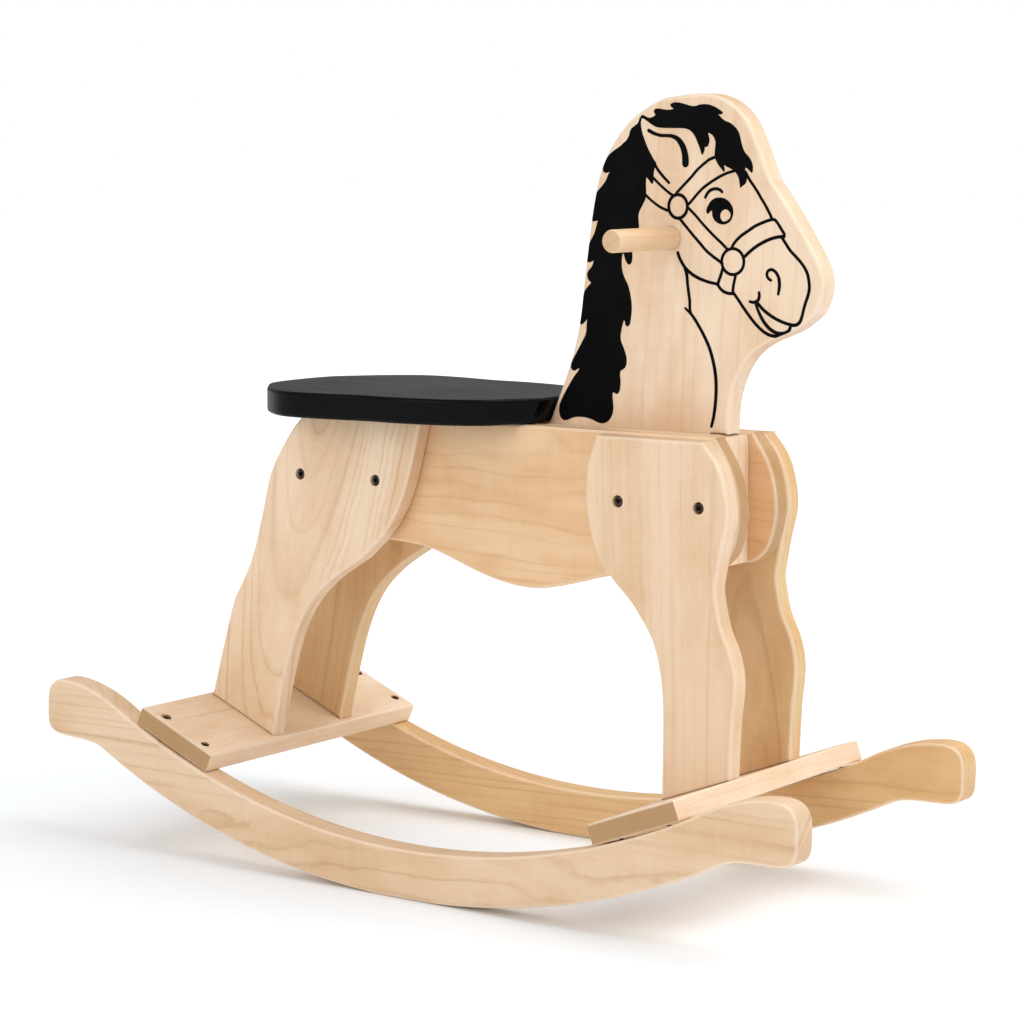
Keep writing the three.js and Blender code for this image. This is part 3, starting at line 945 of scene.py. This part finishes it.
# %% Curves through points
def through(points, step=1.1):
    """A smooth run through points of any length, with a new point about every step."""
    ends = [tuple(2 * a - b for a, b in zip(points[0], points[1]))]
    ends += list(points) + [tuple(2 * a - b for a, b in zip(points[-1], points[-2]))]
    run = []
    for p0, p1, p2, p3 in zip(ends, ends[1:], ends[2:], ends[3:]):
        gap = math.dist(p1[:2], p2[:2])
        count = max(2, round(gap / step))
        knots = [max(math.dist(a[:2], b[:2]), 1e-3) ** 0.5
                 for a, b in ((p0, p1), (p1, p2), (p2, p3))]
        for k in range(count):
            t = k / count
            point = []
            for a, b, c, d in zip(p0, p1, p2, p3):
                m1 = (c - b) + knots[1] * ((b - a) / knots[0] - (c - a) / (knots[0] + knots[1]))
                m2 = (c - b) + knots[1] * ((d - c) / knots[2] - (d - b) / (knots[1] + knots[2]))
                h = (2 * b - 2 * c + m1 + m2, -3 * b + 3 * c - 2 * m1 - m2, m1, b)
                point.append(((h[0] * t + h[1]) * t + h[2]) * t + h[3])
            run.append(tuple(point))
    return run + [tuple(points[-1])]


def filled(runs):
    """The outline of a filled shape, from runs that share their end points."""
    outline = []
    for run, after in zip(runs, runs[1:] + runs[:1]):
        outline += through(run + after[:1])[:-1]
    return [Vector(p) for p in outline]


def ribbon(stroke, loop=False):
    """Quads along a brush stroke of changing width, with a round cap at each end."""
    points = through(stroke)
    spots = [Vector(p[:2]) for p in points]
    shapes, last = [], len(points) - 1
    sides = []
    for i, (spot, point) in enumerate(zip(spots, points)):
        ahead = spots[1] if loop and i == last else spots[min(i + 1, last)]
        behind = spots[last - 1] if loop and i == 0 else spots[max(i - 1, 0)]
        way = (ahead - behind).normalized()
        out = Vector((-way.y, way.x)) * point[2] / 2
        sides.append((spot + out, spot - out))
    for (a, b), (c, d) in zip(sides, sides[1:]):
        shapes.append([b, d, c, a])
    if not loop:
        for end in (0, last):
            shapes.append(circle(spots[end], points[end][2] / 2, 14))
    return shapes


print("a test run has", len(through([(0, 0), (10, 5), (20, 0)])), "points")

# %% The mane, lock by lock, from the ear down the back and up the front
def runs(size, tables):
    """Reads points from plain lists of numbers in tenths of a millimetre."""
    return [[tuple(n / 10 for n in table[i:i + size]) for i in range(0, len(table), size)]
            for table in tables]


MANE = runs(2, [
    [-295,980, -310,990, -320,963, -332,943, -365,920, -395,898, -410,872, -414,850, -445,800,
     -473,780, -500,757, -545,730, -590,702, -625,674, -655,640, -676,605, -683,570, -675,543,
     -652,530],
    [-610,539, -630,506, -645,473, -670,440, -705,404, -747,365, -778,326, -797,280, -807,227,
     -813,180, -811,150, -796,130, -773,123],
    [-727,132, -735,110, -748,65, -766,18, -797,-32, -830,-80, -848,-123, -854,-165, -850,-200,
     -828,-221, -803,-220],
    [-770,-205, -777,-235, -793,-262, -822,-292, -835,-323, -828,-356, -812,-380],
    [-792,-390, -800,-400, -835,-434, -865,-473, -885,-520, -904,-580, -918,-642, -925,-696,
     -915,-732, -892,-750, -865,-734],
    [-833,-703, -839,-750, -842,-800, -854,-844, -881,-889, -914,-945, -950,-1003, -983,-1056,
     -999,-1095, -997,-1125, -978,-1145, -954,-1143],
    [-912,-1118, -920,-1139, -952,-1177, -988,-1225, -1025,-1280, -1070,-1352, -1100,-1407,
     -1118,-1456, -1120,-1506, -1103,-1552, -1070,-1574, -1031,-1569, -970,-1545, -900,-1537,
     -838,-1540, -775,-1554, -725,-1572, -680,-1580, -638,-1570, -600,-1542, -575,-1500,
     -563,-1450, -566,-1400, -572,-1345],
    [-567,-1306, -544,-1318, -525,-1322, -503,-1300, -493,-1250, -491,-1210, -497,-1163],
    [-493,-1127, -478,-1118, -450,-1100, -432,-1063, -431,-1020, -444,-970, -466,-920, -488,-870,
     -493,-830, -486,-790, -477,-750],
    [-460,-695, -449,-710, -446,-734, -423,-750, -400,-728, -389,-674, -382,-605, -385,-540,
     -400,-465, -420,-403, -450,-350, -473,-300, -483,-254, -485,-204, -480,-160],
    [-474,-136, -463,-150, -447,-195, -427,-223, -408,-231, -386,-212, -378,-173, -378,-125,
     -354,-40, -326,30],
    [-312,86, -318,142, -319,188, -308,219, -281,264, -259,303],
    [-248,324, -244,375, -247,450],
    [-243,500, -220,479, -197,452, -181,443, -174,460, -172,500, -169,535],
    [-162,570, -144,610, -174,651, -200,691, -228,736, -250,781, -268,820, -284,862, -295,905,
     -300,940],
])
print("the mane has", len(MANE), "locks and", len(filled(MANE)), "points")

# %% The forelock, from the tip of the ear over the brow
FORELOCK = runs(2, [
    [-302,975, -303,998, -290,1011, -275,1009, -250,998, -225,989, -200,990, -175,999],
    [-155,1013, -169,1030, -171,1048, -157,1060, -129,1064, -86,1058, -43,1054, 0,1055],
    [22,1062, 3,1074, -10,1087, -6,1101, 21,1112, 64,1113, 107,1106, 157,1093, 200,1084,
     236,1084, 264,1092, 300,1098, 343,1097, 386,1089, 429,1073, 464,1055, 489,1038, 499,1024,
     482,1016],
    [455,1017, 486,986, 521,963, 564,948, 600,926, 632,898, 654,866, 668,826, 679,784, 693,744,
     714,706, 750,672, 775,637, 788,594, 787,559, 779,543, 761,558, 738,576],
    [719,588, 714,560, 716,535, 732,505, 732,489, 721,459, 693,437],
    [668,420, 665,451, 658,487, 644,522, 620,550],
    [605,564, 570,579, 543,590],
    [512,605, 517,585, 522,560, 513,550, 502,560, 479,584, 450,619, 432,650, 423,687, 425,730,
     430,773, 428,800, 414,830, 394,851],
    [360,867, 362,846, 371,823, 371,794, 362,769, 349,751],
    [327,750, 325,723, 314,700, 304,686, 294,700, 276,747, 257,787, 236,829, 214,859, 186,883,
     150,897, 100,903, 50,903, -50,904, -100,906, -150,913, -200,937, -240,962, -270,980,
     -286,983],
])
PUPIL = runs(2, [
    [353,210, 346,231, 357,263, 386,306, 421,331, 471,341, 521,334, 564,309, 596,270, 606,227,
     596,177, 568,141, 521,122, 471,127, 429,152, 406,190],
    [402,235, 380,220, 364,205],
])
GLINT = runs(2, [
    [532,247, 564,232, 582,202, 571,173, 543,152, 509,147, 488,166, 482,196, 496,228, 532,247],
])
print("the forelock has", len(FORELOCK), "locks")

# %% The bridle: rings and straps, each point with its width
def ring(middle, across, up, width, count=28):
    x, y = middle
    return [(x + across * math.cos(math.tau * k / count), y + up * math.sin(math.tau * k / count),
             width) for k in range(count + 1)]


RINGS = [ring((7.1, 26.2), 9.1, 9.7, 2.8), ring((60.6, -17.9), 10.6, 10.6, 2.6)]
STRAPS = runs(3, [
    [54,372,24, 136,447,24, 207,513,24, 250,558,24, 325,617,24, 371,648,25, 425,668,26],
    [172,280,24, 189,295,24, 250,358,24, 307,411,24, 379,459,24, 450,499,24, 507,526,24,
     564,546,23, 615,559,23],
    [-180,500,24, -155,477,23, -100,432,22, -50,395,23, -5,365,24, 20,353,24],
    [-256,358,23, -200,313,22, -150,280,22, -100,252,23, -32,227,25],
    [169,254,24, 250,184,24, 300,135,24, 364,77,24, 436,16,24, 500,-34,25, 548,-76,25],
    [94,156,26, 150,99,25, 207,41,25, 279,-28,26, 350,-96,26, 414,-141,26, 479,-180,26,
     506,-200,26],
    [596,-66,25, 606,-44,25, 637,-7,26, 687,36,26, 751,75,26, 809,111,26, 866,136,26, 923,157,26,
     970,170,26],
    [706,-146,27, 751,-107,27, 801,-68,28, 866,-29,28, 937,4,28, 1009,26,28, 1083,37,28],
    [509,-240,28, 489,-301,28, 471,-344,28, 465,-370,28],
    [634,-290,26, 621,-344,26, 611,-394,26, 610,-436,26],
    [459,-366,27, 486,-400,27, 521,-426,27, 564,-439,27, 615,-439,27],
])
print("the bridle has", len(RINGS), "rings and", len(STRAPS), "lines")

# %% The lines of the ear, face and chest
LINES = runs(3, [
    [-166,618,22, -140,576,25, -106,536,26, -70,500,25, -19,455,23],
    [-222,884,30, -185,866,30, -150,854,29, -100,843,28, -50,842,28, 0,839,31, 50,823,39,
     86,793,48, 116,748,55, 133,700,60, 141,650,64, 141,614,64],
    [718,550,26, 761,485,25, 800,437,25, 832,396,25, 866,346,25, 901,297,25, 937,242,26,
     962,198,26, 974,172,28],
    [970,171,26, 998,169,26, 1020,151,26, 1046,117,26, 1073,79,26, 1092,52,26, 1086,30,26],
    [1069,26,26, 1109,-26,26, 1151,-79,26, 1201,-124,26, 1244,-164,26, 1284,-212,27,
     1309,-257,28, 1324,-314,28, 1329,-377,28, 1319,-429,28, 1298,-486,27, 1280,-543,26,
     1263,-607,27, 1244,-649,28, 1215,-672,29, 1187,-677,29, 1160,-676,29],
    [836,-499,26, 880,-544,28, 923,-578,28, 980,-612,28, 1037,-639,27, 1094,-659,27,
     1137,-670,27, 1173,-676,28],
    [773,-500,24, 801,-505,25, 830,-499,27, 853,-482,28, 861,-457,28, 859,-424,25],
    [824,-506,24, 842,-550,26, 863,-593,28, 894,-643,30, 930,-686,31, 973,-721,31, 1023,-744,30,
     1080,-748,29, 1123,-736,28, 1148,-714,27, 1159,-686,27],
    [619,-439,26, 651,-476,27, 701,-538,27, 759,-607,27, 816,-668,27, 866,-712,27, 916,-746,27,
     966,-766,28, 1016,-773,29, 1066,-768,30, 1105,-752,28, 1130,-736,24],
    [969,-321,24, 944,-305,25, 931,-279,26, 938,-251,26, 962,-235,26, 991,-238,26, 1019,-259,27,
     1040,-294,28, 1050,-343,31, 1047,-393,28, 1039,-431,23],
    [337,340,25, 352,368,26, 380,396,27, 414,409,27, 454,410,27, 480,401,27, 497,386,25],
    [72,-120,28, 87,-156,28, 114,-201,28, 150,-245,28, 200,-284,28, 257,-315,28, 321,-338,27,
     386,-355,26, 462,-367,27],
    [143,-245,29, 156,-275,32, 164,-316,29, 171,-380,28, 182,-451,28, 192,-510,28, 195,-585,26,
     203,-615,26],
    [149,-576,19, 192,-609,25, 233,-651,27, 283,-718,28, 333,-794,29, 383,-885,30, 424,-1000,31,
     449,-1117,32, 456,-1240,31, 448,-1367,30, 433,-1467,29, 413,-1543,26],
])
print("ear, face and chest take", len(LINES), "lines")

# %% Laying the print on both faces
def print_shapes():
    solid = [filled(MANE), filled(FORELOCK), filled(PUPIL)]
    for stroke in STRAPS + LINES:
        solid += ribbon(stroke)
    for stroke in RINGS:
        solid += ribbon(stroke, loop=True)
    return solid, [[Vector(p) for p in through(GLINT[0])[:-1]]]


def edge_spots(middle):
    """Loose points near the head's rounded edge, so that the print can bend over it."""
    outline = smoothed(neck_plan.outline)
    spots = []
    for i, corner in enumerate(outline):
        inwards = outward(outline, i)[2]
        for inset in (0.7, 1.2, 1.8, 2.5, 3.2, 4.0):
            spot = neck_plan.point(corner - inwards * inset * mm, 0)
            spots.append(Vector(((spot.x - middle.x) / mm, (spot.z - middle.z) / mm)))
    return spots


def united(solid, holes, loose):
    """One flat mesh of everything inked, from shapes that may overlap."""
    points, faces = [], []
    for shape in solid + holes:
        if area2([tuple(p) for p in shape]) < 0:
            shape = shape[::-1]
        faces.append(list(range(len(points), len(points) + len(shape))))
        points += shape
    points += loose
    verts, _, found, _, _, came_from = delaunay_2d_cdt(points, [], faces, 1, 1e-4)
    kept = [f for f, sources in zip(found, came_from)
            if sources and not any(s >= len(solid) for s in sources)]
    return verts, kept


BARE_EDGE = 1.1 * mm


def on_the_wood(spot):
    """Where a spot of the drawing lies, and how far the rounded edge has fallen away there."""
    near, foot, inwards, inside = NECK_EDGE, spot, Vector((0, 0)), True
    for a, b in zip(head_outline, head_outline[1:] + head_outline[:1]):
        if (a - spot).length > 3 * NECK_EDGE:
            continue
        side = b - a
        part = min(max((spot - a).dot(side) / side.length_squared, 0), 1)
        gap = (a + side * part - spot).length
        if gap < near:
            near, foot, inside = gap, a + side * part, side.cross(spot - a) > 0
            inwards = Vector((-side.y, side.x)).normalized()
    if not inside or near < BARE_EDGE:
        near, spot = BARE_EDGE, foot + inwards * BARE_EDGE
    return spot, NECK_EDGE - math.sqrt(NECK_EDGE ** 2 - (NECK_EDGE - near) ** 2)


head_outline = [neck_plan.point(p, 0).xz for p in smoothed(neck_plan.outline)]


def lay_print(side, sign, flat, faces):
    low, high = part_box("neck_and_head")
    wood = high.y if sign > 0 else low.y
    board = Board()
    centre = handle_middle.xz
    spots = [on_the_wood(centre + p * mm) for p in flat]
    sheets = []
    for proud in (-0.05 * mm, 0.22 * mm):
        sheets.append(board.add([Vector((x, wood + sign * (proud - drop), z))
                                 for (x, z), drop in spots]))
    edges = {}
    for face in faces:
        for a, b in zip(face, face[1:] + face[:1]):
            edges[(a, b)] = True
    for face in faces:
        for sheet, flip in ((sheets[1], sign > 0), (sheets[0], sign < 0)):
            corners = [sheet[i] for i in face]
            board.faces.append(corners[::-1] if flip else corners)
    for a, b in edges:
        if (b, a) not in edges:
            corners = [sheets[0][a], sheets[0][b], sheets[1][b], sheets[1][a]]
            board.faces.append(corners[::-1] if sign > 0 else corners)
    piece = board.make(f"head_print_{side}", ink)
    piece.data.shade_flat()
    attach(piece, "root")
    return piece


handle_middle = sum(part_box("handle_dowel"), Vector()) / 2
flat_print, inked = united(*print_shapes(), edge_spots(handle_middle))
for side, sign in SIDES.items():
    piece = lay_print(side, sign, flat_print, inked)
    print(piece.name, "laid with", len(piece.data.polygons), "faces")

# %% [markdown]
# Bringing the scene up to date
#
# At the end the view layer is brought up to date. The finished horse has to stay inside the
# box of the frame.


bpy.context.view_layer.update()
